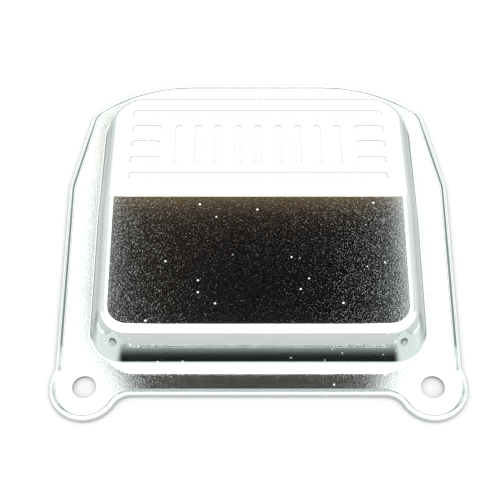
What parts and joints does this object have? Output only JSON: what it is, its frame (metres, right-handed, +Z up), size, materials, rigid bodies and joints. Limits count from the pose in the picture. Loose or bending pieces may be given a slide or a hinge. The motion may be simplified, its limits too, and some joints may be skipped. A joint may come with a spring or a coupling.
{
  "type": "stamped rocker cover",
  "caption": "Zinc-plated sheet-steel rocker cover for a small overhead-valve engine, with a domed crown, a ribbed rear slope, a beaded rim and a flat gasket.",
  "frame": {"origin": "bottom centre of the whole cover, on the plane that the gasket rests on", "axes": "+X across the two bolt ears, +Y from the bolt ears towards the sloped rear panel, +Z up out of the crown"},
  "size_m": [0.1184, 0.1138, 0.0176],
  "materials": {
    "zinc_steel": "bright zinc plate with a fine orange-peel grain",
    "gasket_rubber": "matt"
  },
  "bodies": {
    "root": {"cover_shell": "zinc_steel", "flange_gasket": "gasket_rubber"}
  },
  "joints": []
}
